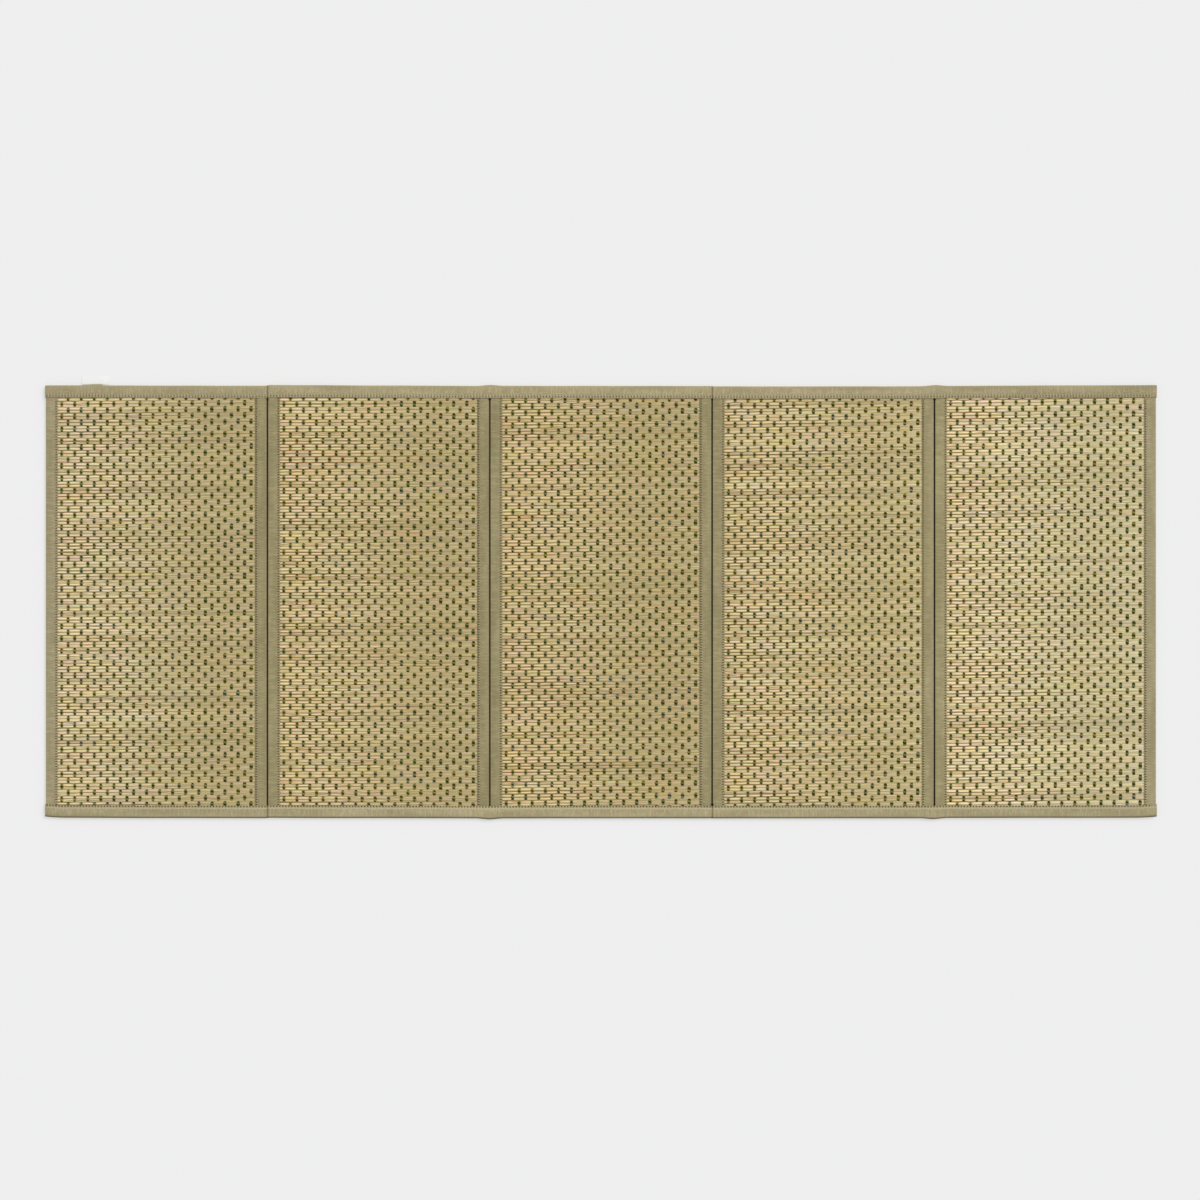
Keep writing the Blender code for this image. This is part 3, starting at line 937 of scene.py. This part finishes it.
    def build_yarns(self) -> bpy.types.Object:
        """Makes the strips of yarn that cross over every second column in each row."""
        sizes = {
            "Column": self.weave.column,
            "Rows": self.rows - 1,
            "Yarns in row": self.weave.columns // 2,
            "Narrowest strip": self.strip_widths[0],
            "Widest strip": self.strip_widths[1],
            "Strip length": self.strip_share,
            "Lift": self.strip_lift,
            "Seed": self.seed,
            "Random seed": self.number * 11,
            "Material": self.yarn,
        }
        graph = GeometryGraph("warp_yarns", sizes)
        column = graph.size("Column")
        width = (graph.size("Yarns in row") - 1.0) * column * 2.0
        height = graph.size("Rows") - 1.0
        grid = graph.grid(width, height, graph.size("Yarns in row"), graph.size("Rows"))
        x, y, _z = graph.position()
        line = (height * 0.5 - y).nearest()
        odd = ((line * 0.5).fraction() * 2.0).nearest()
        along = x + width * 0.5 + self.weave.first_column + column * (1.0 - odd)
        seed = graph.size("Random seed")
        shaken = along + graph.random(-0.00035, 0.00035, seed)
        points = graph.keep(grid, "crossing", graph.vector(shaken, line, graph.size("Seed")))
        middle = line + self.START + graph.random(-0.04, 0.04, seed + 4.0)
        points = graph.move(points, shaken - self.half_x, middle * -1.0, 0.0)
        strip = graph.grid(1.0, 1.0, 5, 6)
        across, lengthwise, _flat = graph.position()
        strip = graph.keep(strip, "strip", graph.vector(across * 2.0, lengthwise * 2.0, 0.0))
        narrow, broad = graph.size("Narrowest strip"), graph.size("Widest strip")
        from_left = (shaken / (2.0 * self.half_x)).at_most(1.0)
        wide = (narrow + from_left * (broad - narrow)) * graph.random(0.86, 1.10, seed + 2.0)
        own_length = graph.noise(graph.vector(shaken * 7.0, line * 4.3, seed + 3.0), 1.0)
        long = graph.size("Strip length") * (0.78 + 0.42 * own_length) * graph.random(0.94, 1.06, seed + 3.0)
        strips = graph.spread(points, strip, graph.vector(0.0, 0.0, 0.0), graph.vector(wide, long, 1.0))
        x, y, _z = graph.position()
        across, lengthwise, _flat = graph.kept("strip")
        rows = y * -1.0
        share = (x / (2.0 * self.half_x) + 0.5).at_least(0.0).at_most(1.0)
        _moved, level = self.surface(graph, x, rows)
        round_off = (1.0 - across * across * 0.98).root()
        ends = 1.0 - (lengthwise * lengthwise) ** 5.0
        lift = graph.size("Lift") * (round_off * 1.65 * (0.35 + 0.65 * ends) - 0.75)
        narrowed = x - across * (1.0 - ends) * narrow * 0.12
        laid = graph.move(strips, narrowed + self.middle, self.y_of(rows, share), level + lift)
        piece = graph.bake(f"warp_yarns_{self.number}", laid)
        finish_piece(piece, Slot.RUSH)
        return piece


@dataclass(frozen=True)
class Profile:
    """The section of a ribbon folded over an edge, as (inward, up) points round its outer side.

    Inward is measured from the outer face of the fold. The upper flap is a little padded between the fold and
    the seam, which pulls it down, and the wall is a little bulged.
    """

    cover: float
    bottom: float
    top: float
    radius: float
    seam: float
    wall: Sequence[tuple[float, float]]
    padding: float = 0.00025
    pull: float = 0.00035
    arc_steps: int = 4
    flap_steps: int = 7

    def points(self) -> list[tuple[float, float]]:
        """The section's points from the lower flap's inner edge round to the upper one's."""
        outline = [(self.cover, self.bottom), (self.cover * 0.5, self.bottom)]
        quarter = [math.pi / 2.0 * step / self.arc_steps for step in range(self.arc_steps + 1)]
        for angle in quarter:
            up = self.bottom + self.radius * (1.0 - math.cos(angle))
            outline.append((self.radius * (1.0 - math.sin(angle)) - self._bulged(up), up))
        middle = (self.bottom + self.top) / 2.0
        for share in (0.5, 1.0, 1.5):
            between = self.bottom + (middle - self.bottom) * share
            outline.append((-self._bulged(between), between))
        for angle in quarter:
            up = self.top - self.radius * (1.0 - math.sin(angle))
            outline.append((self.radius * (1.0 - math.cos(angle)) - self._bulged(up), up))
        outline.append((self.radius * 2.0, self.top + self._padded(self.radius * 2.0)))
        for step in range(1, self.flap_steps + 1):
            inward = self.radius + (self.cover - self.radius) * step / self.flap_steps
            outline.append((inward, self.top + self._padded(inward)))
        return outline

    def _bulged(self, up: float) -> float:
        """How far the wall stands out at a height, from its table of shares of the height and metres."""
        share = (up - self.bottom) / (self.top - self.bottom)
        for (low, reach), (high, next_reach) in zip(self.wall, self.wall[1:]):
            if share <= high:
                return reach + (next_reach - reach) * (share - low) / (high - low)
        return self.wall[-1][1]

    def _padded(self, inward: float) -> float:
        """How far the upper flap stands above its plain level."""
        to_seam = self.cover - self.seam
        swell = self.padding * math.sin(math.pi * min(1.0, (inward - self.radius) / (to_seam - self.radius)))
        return swell - self.pull * math.exp(-(((inward - to_seam) / 0.0016) ** 2.0))


@dataclass
class Ribbon:
    """A ribbon folded over an edge, made from its section and the places along it."""

    WALL: ClassVar[float] = 0.0003

    name: str
    profile: Profile
    stations: Sequence[float]
    place: Callable[[float, float, float], Vector]
    material: bpy.types.Material
    seed: float
    thickness: float
    shade_of: Callable[[float], float]
    # walls_in_shadow gives the walls of a fold slit painted shade; a rim below 0 gives painted shade to a rim
    # turned from the light, and above 0 a fold rubbed pale, within the band.
    walls_in_shadow: bool = False
    rim: float = 1.0
    wear_and_shade_band: float = 0.0016

    def build(self) -> bpy.types.Object:
        """Makes the ribbon with its stored places and thickness."""
        outline = self.profile.points()
        walked = [0.0]
        for (inward, up), (next_inward, next_up) in zip(outline, outline[1:]):
            walked.append(walked[-1] + math.hypot(next_inward - inward, next_up - up))
        points = [self.place(inward, up, at) for at in self.stations for inward, up in outline]
        count = len(outline)
        faces = [
            (first + i, first + i + 1, first + count + i + 1, first + count + i)
            for first in range(0, (len(self.stations) - 1) * count, count)
            for i in range(count - 1)
        ]
        mesh = bpy.data.meshes.new(self.name)
        mesh.from_pydata(points, [], faces)
        mesh.materials.append(self.material)
        self._store(mesh, "ribbon", self._ribbon_places(outline, walked))
        self._store(mesh, "ribbon_kind", self._ribbon_kinds(outline))
        piece = bpy.data.objects.new(self.name, mesh)
        bpy.context.scene.collection.objects.link(piece)
        if mesh.polygons[len(self.stations) // 2 * (count - 1)].normal.z > 0.0:
            mesh.flip_normals()
        solidify = piece.modifiers.new("ribbon", "SOLIDIFY")
        solidify.thickness = self.thickness
        solidify.offset = -1.0
        solidify.use_even_offset = True
        for face in mesh.polygons:
            face.use_smooth = True
        return piece

    def _ribbon_places(self, outline: Sequence[tuple[float, float]], walked: Sequence[float]) -> list[tuple]:
        """Metres along and across the ribbon, and metres from its seam, for each point."""
        to_seam = self.profile.cover - self.profile.seam
        middle = (self.profile.bottom + self.profile.top) / 2.0
        rows = [
            (distance, inward - to_seam if up > middle else 1.0)
            for (inward, up), distance in zip(outline, walked)
        ]
        return [(at, distance, seam) for at in self.stations for distance, seam in rows]

    def _ribbon_kinds(self, outline: Sequence[tuple[float, float]]) -> list[tuple]:
        """The ribbon's own number, its rim mark and its painted light and shade along it, for each point. The
        rim mark is above 0 where the fold is rubbed pale and below 0 where shade is painted.
        """
        wear_and_shade_band = [self._wear_and_shade(inward, up) for inward, up in outline]
        return [(self.seed, rim_mark, self.shade_of(at)) for at in self.stations for rim_mark in wear_and_shade_band]

    def _wear_and_shade(self, inward: float, up: float) -> float:
        """1 where the fold is rubbed pale, and negative where shade is painted: on the walls of a fold slit and
        on a rim turned from the light.
        """
        if self.walls_in_shadow and inward < self.WALL:
            return -1.0
        near = max(0.0, 1.0 - max(0.0, inward) / self.wear_and_shade_band)
        if self.rim > 0.0:
            return self.rim * near
        middle = (self.profile.bottom + self.profile.top) / 2.0
        return self.rim * near * max(0.0, min(1.0, (up - middle) / (self.profile.top - middle)))

    @staticmethod
    def _store(mesh: bpy.types.Mesh, name: str, values: Sequence[tuple]) -> None:
        """Stores a vector for each point of a mesh."""
        layer = mesh.attributes.new(name, "FLOAT_VECTOR", "POINT")
        layer.data.foreach_set("vector", [number for value in values for number in value])


@dataclass
class StitchRow:
    """A row of stitches along a path."""

    DEPTH: ClassVar[float] = 0.0002

    name: str
    path: Sequence[Vector]
    pitch: float
    length: float
    width: float
    slant: float
    seed: int
    material: bpy.types.Material
    height: float = 0.00045

    def build(self) -> bpy.types.Object:
        """Makes the stitches as grains of thread along the path."""
        sizes = {
            "Pitch": self.pitch,
            "Length": self.length,
            "Width": self.width,
            "Height": self.height,
            "Slant": self.slant,
            "Seed": self.seed,
            "Material": self.material,
        }
        graph = GeometryGraph("stitches", sizes)
        curve = graph.node("GeometryNodeMeshToCurve", None, {"Mesh": graph.size("Geometry")})
        values = {"Curve": curve.outputs["Curve"], "Length": graph.size("Pitch")}
        points = graph.node("GeometryNodeCurveToPoints", {"mode": "LENGTH"}, values)
        tangent = graph.split(Signal(graph, points.outputs["Tangent"]))
        heading = graph.math("ARCTAN2", tangent[1], tangent[0])
        grain = graph.node("GeometryNodeMeshUVSphere", None, {"Segments": 6, "Rings": 3, "Radius": 0.5})
        seed = graph.size("Seed")
        turn = heading + graph.size("Slant") + graph.random(-0.12, 0.12, seed)
        scale = graph.vector(
            graph.size("Length") * graph.random(0.85, 1.12, seed + 1.0),
            graph.size("Width") * graph.random(0.85, 1.15, seed + 2.0),
            graph.size("Height"),
        )
        rotation = graph.vector(0.0, 0.0, turn)
        grains = graph.spread(points.outputs["Points"], grain.outputs["Mesh"], rotation, scale)
        base = bpy.data.meshes.new(self.name)
        base.from_pydata(list(self.path), [(i, i + 1) for i in range(len(self.path) - 1)], [])
        piece = graph.bake(self.name, grains, base)
        finish_piece(piece, Slot.BINDING)
        return piece


@dataclass
class SideBinding:
    """The ribbon over one short end of a panel, with its row of stitches."""

    panel: int
    end: End
    end_ribbon: bpy.types.Material
    fold_ribbon: bpy.types.Material
    thread: bpy.types.Material
    THICKNESS: ClassVar[float] = 0.0005
    holes_by_fold: ClassVar[dict[int, dict[Edge, float]]] = {
        1: {Edge.BACK: 0.0006},
        2: {Edge.BACK: 0.0011},
        3: {Edge.BACK: 0.0005, Edge.FRONT: 0.0013},
        4: {Edge.BACK: 0.0010},
    }
    hole_steps: ClassVar[tuple[float, ...]] = (-2.4, -1.4, -0.7, 0.0, 0.7, 1.4)

    radius: float = 0.0009
    fold_radius: float = 0.0006
    seam: float = 0.0021
    pitch: float = 0.0041
    stitch: tuple[float, float, float] = (0.0019, 0.0032, 0.15)
    step: float = 0.012
    wobble: float = 0.00012
    end_rim: float = 1.0
    end_worn: float = 0.0016
    # Painted shade on the rims at a fold, which makes the slit look darker and wider.
    fold_rim: float = -0.50
    fold_shade_band: float = 0.0010
    # Painted light: the side ribbons paler towards the mat's right end.
    shade_by_fold: ClassVar[dict[int, float]] = {0: 0.0, 1: 0.0, 2: 0.0, 3: 0.03, 4: 0.09, 5: 0.07}
    hole_y: float = 0.3284
    hole_reach: float = 0.0016
    free_wall: tuple[tuple[float, float], ...] = ((0.0, 0.0), (0.5, 0.0002), (1.0, 0.0))
    fold_wall: tuple[tuple[float, float], ...] = (
        (0.0, 0.0002), (0.12, 0.00105), (0.30, 0.0008), (0.5, 0.0003), (0.8, 0.0002), (1.0, 0.0)
    )

    def build(self) -> list[bpy.types.Object]:
        """Makes the ribbon and its stitches."""
        name = f"side_binding_{self.panel}_{self.end.name.lower()}"
        low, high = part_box(name)
        inward_sign = self.end.value
        outer_x = low[0] if self.end is End.LEFT else high[0]
        at_mat_end = (self.panel, self.end) in ((1, End.LEFT), (5, End.RIGHT))
        wall = self.free_wall if at_mat_end else self.fold_wall
        radius = self.radius if at_mat_end else self.fold_radius
        profile = Profile(high[0] - low[0], low[2], high[2], radius, self.seam, wall)
        count = round((high[1] - low[1]) / self.step)
        stations = [low[1] + (high[1] - low[1]) * i / count for i in range(count + 1)]
        fold = self.panel if self.end is End.RIGHT else self.panel - 1
        holes = {} if at_mat_end else self.holes_by_fold[fold]
        for edge in holes:
            close = [edge.value * (self.hole_y + self.hole_reach * step) for step in self.hole_steps]
            clear = self.hole_reach * 3.0
            stations = [y for y in stations if abs(y - edge.value * self.hole_y) > clear] + close
        stations.sort()
        chance = random.Random(f"{name} unevenness")
        waves = [(chance.uniform(20.0, 70.0), chance.uniform(0.0, 6.0)) for _ in range(3)]

        def place(inward: float, up: float, y: float) -> Vector:
            """A point of the ribbon, with its inner edge a little uneven."""
            uneven = sum(math.sin(rate * y + phase) for rate, phase in waves) / len(waves)
            share = inward / profile.cover
            inner = inward + self.wobble * uneven * share
            raised = max(0.0, min(1.0, (up - profile.bottom) / (profile.top - profile.bottom) * 2.0 - 0.6))
            gape = raised * sum(
                depth * math.exp(-(((y * edge.value - self.hole_y) / self.hole_reach) ** 2.0))
                for edge, depth in holes.items()
            )
            return Vector((outer_x + inward_sign * (inner + gape * max(0.0, 1.0 - share * 3.0)), y, up))

        seed = self.panel * 2.0 + (0.5 if self.end is End.LEFT else 0.0)
        rim, wear_and_shade_band = (self.end_rim, self.end_worn) if at_mat_end else (self.fold_rim, self.fold_shade_band)
        shade = self.shade_by_fold[fold]
        ribbon = self.end_ribbon if at_mat_end else self.fold_ribbon
        made = Ribbon(
            f"{name}_ribbon", profile, stations, place, ribbon, seed, self.THICKNESS, lambda y: shade,
            not at_mat_end, rim, wear_and_shade_band,
        ).build()
        finish_piece(made, Slot.BINDING, name)
        developed = 2.0 * profile.cover + (profile.top - profile.bottom)
        inset = profile.cover - self.seam
        first = -self.pitch * math.floor(LongBinding.INNER_EDGE / self.pitch)
        sewn = [first, *(y for y in stations if first < y < LongBinding.INNER_EDGE)]
        path = [place(inset, profile.top - StitchRow.DEPTH, y) for y in sewn]
        length, width, slant = self.stitch
        row = StitchRow(
            f"{name}_stitches", path, self.pitch, length, width, slant * inward_sign, int(seed * 10.0),
            self.thread,
        ).build()
        return [made, row]


@dataclass
class LongBinding:
    """The ribbon along the mat's back or front edge, with its row of stitches."""

    INNER_EDGE: ClassVar[float] = 0.330

    edge: Edge
    line: EdgeLine
    ribbon: bpy.types.Material
    thread: bpy.types.Material
    valleys: tuple[float, ...] = (-0.54, 0.18)
    end_radius: float = 0.0008
    end_steps: int = 9
    end_gap: float = 0.0001
    crease: float = 0.0007
    crease_reach: float = 0.0012
    crease_steps: ClassVar[tuple[float, ...]] = (-2.2, -1.1, -0.5, 0.0, 0.5, 1.1, 2.2)
    nearest_station: float = 0.0004
    # Painted shade in valley creases and painted light in the mat's middle.
    crease_shade: float = 0.45
    middle_shade: float = 0.11
    thickness: float = 0.0008
    # Back rim rubbed pale; front rim painted shade, as a rounded edge turned away from the light.
    rim_by_edge: ClassVar[dict[Edge, float]] = {Edge.BACK: 0.8, Edge.FRONT: -1.25}
    stitch_by_edge: ClassVar[dict[Edge, tuple[float, float, float]]] = {
        Edge.BACK: (0.0021, 0.0016, 0.3),
        Edge.FRONT: (0.0035, 0.0018, -0.15),
    }
    wear_and_shade_band_by_edge: ClassVar[dict[Edge, float]] = {Edge.BACK: 0.0016, Edge.FRONT: 0.0028}
    radius: float = 0.0018
    seam_by_edge: ClassVar[dict[Edge, float]] = {Edge.BACK: 0.0028, Edge.FRONT: 0.0012}
    wall: tuple[tuple[float, float], ...] = ((0.0, 0.0), (0.5, 0.0003), (1.0, 0.0))
    pitch: float = 0.0049
    step: float = 0.012
    wobble: float = 0.00018
    height: float = 0.0076

    def build(self) -> list[bpy.types.Object]:
        """Makes the ribbon and its stitches."""
        name = f"long_binding_{self.edge.name.lower()}"
        line = self.line
        start, end = line.stations[0], line.stations[-1]
        count = round((end - start) / self.step)
        plain = [start + (end - start) * i / count for i in range(count + 1)]
        near = self.step * 0.3
        close = [valley + self.crease_reach * step for valley in self.valleys for step in self.crease_steps]
        apart = [x for x in line.stations if min(abs(x - c) for c in close) > self.nearest_station]
        fixed = sorted({*apart, *close})
        stations = sorted({*fixed, *(x for x in plain if min(abs(x - s) for s in fixed) > near)})
        round_start = end - self.end_radius
        stations = [x for x in stations if abs(x) < round_start - self.end_radius]
        turned = self.end_radius * (math.pi / 2.0 - 1.0) + self.height / 2.0
        bent = self.end_radius + turned
        past = [round_start + bent * step / self.end_steps for step in range(self.end_steps + 1)]
        stations = [-x for x in reversed(past)] + stations + past
        cover = line.outer[0][1] - line.inner[0][1]
        seam = self.seam_by_edge[self.edge]
        profile = Profile(cover, 0.0, self.height, self.radius, seam, self.wall)
        chance = random.Random(f"{name} unevenness")
        waves = [(chance.uniform(15.0, 60.0), chance.uniform(0.0, 6.0)) for _ in range(4)]

        def place(inward: float, up: float, along: float) -> Vector:
            """A point of the ribbon, following the edge and the folds, and turned in past the mat's ends."""
            angle = min(max(0.0, abs(along) - round_start) / self.end_radius, math.pi / 2.0)
            reach = min(abs(along), round_start) + self.end_radius * math.sin(angle)
            x = math.copysign(reach, along)
            drop = self.end_radius * (1.0 - math.cos(angle))
            drop += max(0.0, abs(along) - round_start - self.end_radius * math.pi / 2.0)
            half = self.height / 2.0
            kept = max(self.end_gap / half, 1.0 - drop / half)
            uneven = sum(math.sin(rate * x + phase) for rate, phase in waves) / len(waves)
            outer, inner = line.at(line.outer, x), line.at(line.inner, x)
            share = inward / cover
            outer -= (1.0 - kept) * half
            y = outer + (inner - outer) * share + self.wobble * uneven * (1.0 - 0.5 * share)
            rising = up / self.height
            sunk = self.crease * creased(x) * rising * rising
            level = up + rising * (line.at(line.top, x) - self.height) - sunk
            return Vector((x, self.edge.value * y, half + (level - half) * kept))

        def creased(x: float) -> float:
            """1 on a valley fold and 0 away from it."""
            return sum(math.exp(-(((x - valley) / self.crease_reach) ** 2.0)) for valley in self.valleys)

        def shade_of(x: float) -> float:
            """How much paler the ribbon is painted at a place: painted light, most in the mat's middle, and
            painted shade in a valley crease.
            """
            return self.middle_shade * (1.0 - (x / end) ** 2.0) - self.crease_shade * creased(x)

        seed = 20.0 + self.edge.value
        rim, wear_and_shade_band = self.rim_by_edge[self.edge], self.wear_and_shade_band_by_edge[self.edge]
        made = Ribbon(
            f"{name}_ribbon", profile, stations, place, self.ribbon, seed, self.thickness, shade_of,
            False, rim, wear_and_shade_band,
        ).build()
        finish_piece(made, Slot.BINDING, name)
        2.0 * cover + self.height
        end - start
        first = -self.pitch * math.floor(round_start / self.pitch)
        sewn = [x for x in [first, *stations] if first <= x < round_start]
        path = [place(cover - seam, self.height - StitchRow.DEPTH, x) for x in sewn]
        row = StitchRow(
            f"{name}_stitches", path, self.pitch, *self.stitch_by_edge[self.edge], int(seed), self.thread
        ).build()
        return [made, row]


@dataclass
class CareLabel:
    """The blank label in the back seam."""

    cloth: bpy.types.Material
    thickness: float = 0.0006
    sag: float = 0.0012

    def build(self) -> bpy.types.Object:
        """Makes the label as a thin cloth that droops to the floor, with soft corners."""
        low, high = (Vector(corner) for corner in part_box("care_label"))
        mesh = bpy.data.meshes.new("blank_label")
        cloth = bmesh.new()
        bmesh.ops.create_grid(cloth, x_segments=14, y_segments=6, size=0.5)
        for vertex in cloth.verts:
            across, out = vertex.co.x, vertex.co.y + 0.5
            corner = max(0.0, abs(across) - 0.42) / 0.08
            x = (low.x + high.x) / 2.0 + across * (high.x - low.x)
            y = low.y + (high.y - low.y) * out * (1.0 - 0.06 * corner * corner)
            curl = 0.0003 * math.sin(across * 7.0 + 1.0) * out
            vertex.co = Vector((x, y, high.z - self.sag * out * out + curl))
        cloth.to_mesh(mesh)
        cloth.free()
        mesh.materials.append(self.cloth)
        piece = bpy.data.objects.new("blank_label", mesh)
        bpy.context.scene.collection.objects.link(piece)
        solidify = piece.modifiers.new("cloth", "SOLIDIFY")
        solidify.thickness = self.thickness
        solidify.offset = -1.0
        finish_piece(piece, Slot.LABEL, "care_label")
        return piece


@dataclass
class Mat:
    """The whole mat."""

    weave: Weave = field(default_factory=Weave)
    panels: int = 5
    rows: tuple[float, ...] = (0.00999, 0.01000, 0.01004, 0.00998, 0.01001)
    row_shifts: tuple[tuple[float, float], ...] = (
        (0.52, 0.74), (0.52, 0.64), (0.10, 0.44), (0.22, 0.66), (0.66, 1.08)
    )
    # Panel tones: the rush's own tone with painted light, lighter towards the mat's right end.
    tones: tuple[PanelTone, ...] = (
        PanelTone((1.01, 1.00), (0.04, 0.08)),
        PanelTone((0.985, 0.99), (-0.09, 0.05)),
        PanelTone((0.95, 1.00), (-0.12, 0.03)),
        PanelTone((0.97, 1.15), (-0.08, 0.11)),
        PanelTone((1.09, 1.25), (0.01, 0.31)),
    )

    def build(self) -> None:
        """Makes every piece."""
        rush = RushFinish(self.weave).make()
        yarn = YarnFinish().make()
        end_finish = RibbonFinish(
            "end_ribbon", SideBinding.pitch, pucker=0.0026, mottled=0.0042, brightness=1.15, pucker_highlight=0.60,
            ridge=0.0,
        )
        end_ribbon = end_finish.make()
        fold_ribbon = replace(end_finish, name="fold_ribbon", brightness=1.07, blue=0.91).make()
        long_ribbons = {
            edge: RibbonFinish(
                f"long_ribbon_{edge.name.lower()}", LongBinding.pitch, pucker=0.0042, mottled=0.0095,
                brightness=1.24, pucker_highlight=0.40, ridge=ridge,
            ).make()
            for edge, ridge in ((Edge.BACK, 0.0), (Edge.FRONT, 0.75))
        }
        thread = ThreadFinish().make()
        lines = {edge: EdgeLine(f"long_binding_{edge.name.lower()}", edge) for edge in Edge}
        total = 0
        for number in range(1, self.panels + 1):
            weave = replace(self.weave, row=self.rows[number - 1])
            shift, tone = self.row_shifts[number - 1], self.tones[number - 1]
            pieces = RushPanel(number, weave, rush, yarn, shift, tone, lines).build()
            for end in End:
                pieces += SideBinding(number, end, end_ribbon, fold_ribbon, thread).build()
            total += self._report(pieces)
        for edge in Edge:
            total += self._report(LongBinding(edge, lines[edge], long_ribbons[edge], thread).build())
        total += self._report([CareLabel(CardFinish().make()).build()])
        LOG.info("the mat has %d triangles before thickness", total)

    @staticmethod
    def _report(pieces: Sequence[bpy.types.Object]) -> int:
        """Logs the pieces and returns their triangles, both before thickness."""
        counts = [triangles(piece) for piece in pieces]
        for piece, count in zip(pieces, counts):
            LOG.info("%s: %d triangles", piece.name, count)
        return sum(counts)


@dataclass
class Studio:
    """The floor, the soft light and the camera over the mat."""

    floor_size: float = 30.0
    distance: float = 3.0
    sensor: float = 0.036
    frame_width: float = 1.9471
    aim: tuple[float, float] = (-0.0015, 0.0032)
    dome: float = 0.62
    key: float = 1.42
    key_from: tuple[float, float, float] = (0.66, 0.52, 0.93)
    key_softness: float = 0.55

    def build(self) -> None:
        """Makes the studio."""
        self._floor()
        self._light()
        self._camera()

    def _floor(self) -> None:
        """A plain pale floor under the mat."""
        mesh = bpy.data.meshes.new("floor")
        plane = bmesh.new()
        bmesh.ops.create_grid(plane, x_segments=1, y_segments=1, size=self.floor_size / 2.0)
        plane.to_mesh(mesh)
        plane.free()
        mesh.materials.append(FloorFinish().make())
        floor = bpy.data.objects.new("floor", mesh)
        bpy.context.scene.collection.objects.link(floor)

    def _light(self) -> None:
        """An even pale dome and one broad soft light from the back right."""
        world = bpy.data.worlds.new("dome")
        world.use_nodes = True
        world.node_tree.nodes["Background"].inputs["Color"].default_value = (1.0, 1.0, 1.0, 1.0)
        world.node_tree.nodes["Background"].inputs["Strength"].default_value = self.dome
        bpy.context.scene.world = world
        data = bpy.data.lights.new("soft_key", "SUN")
        data.energy = self.key
        data.angle = self.key_softness
        light = bpy.data.objects.new("soft_key", data)
        light.rotation_euler = Vector(self.key_from).to_track_quat("Z", "Y").to_euler()
        bpy.context.scene.collection.objects.link(light)

    def _camera(self) -> None:
        """A camera straight above the mat."""
        data = bpy.data.cameras.new("overhead")
        data.sensor_width = self.sensor * 1000.0
        data.lens = self.sensor * 1000.0 * self.distance / self.frame_width
        camera = bpy.data.objects.new("overhead", data)
        camera.location = (*self.aim, self.distance)
        bpy.context.scene.collection.objects.link(camera)
        bpy.context.scene.camera = camera
        bpy.context.scene.view_settings.view_transform = "Standard"


def main() -> None:
    """Builds the mat and its studio."""
    logging.basicConfig(level=logging.INFO)
    Studio().build()
    Mat().build()
    bpy.context.view_layer.update()


if __name__ == "__main__":
    main()
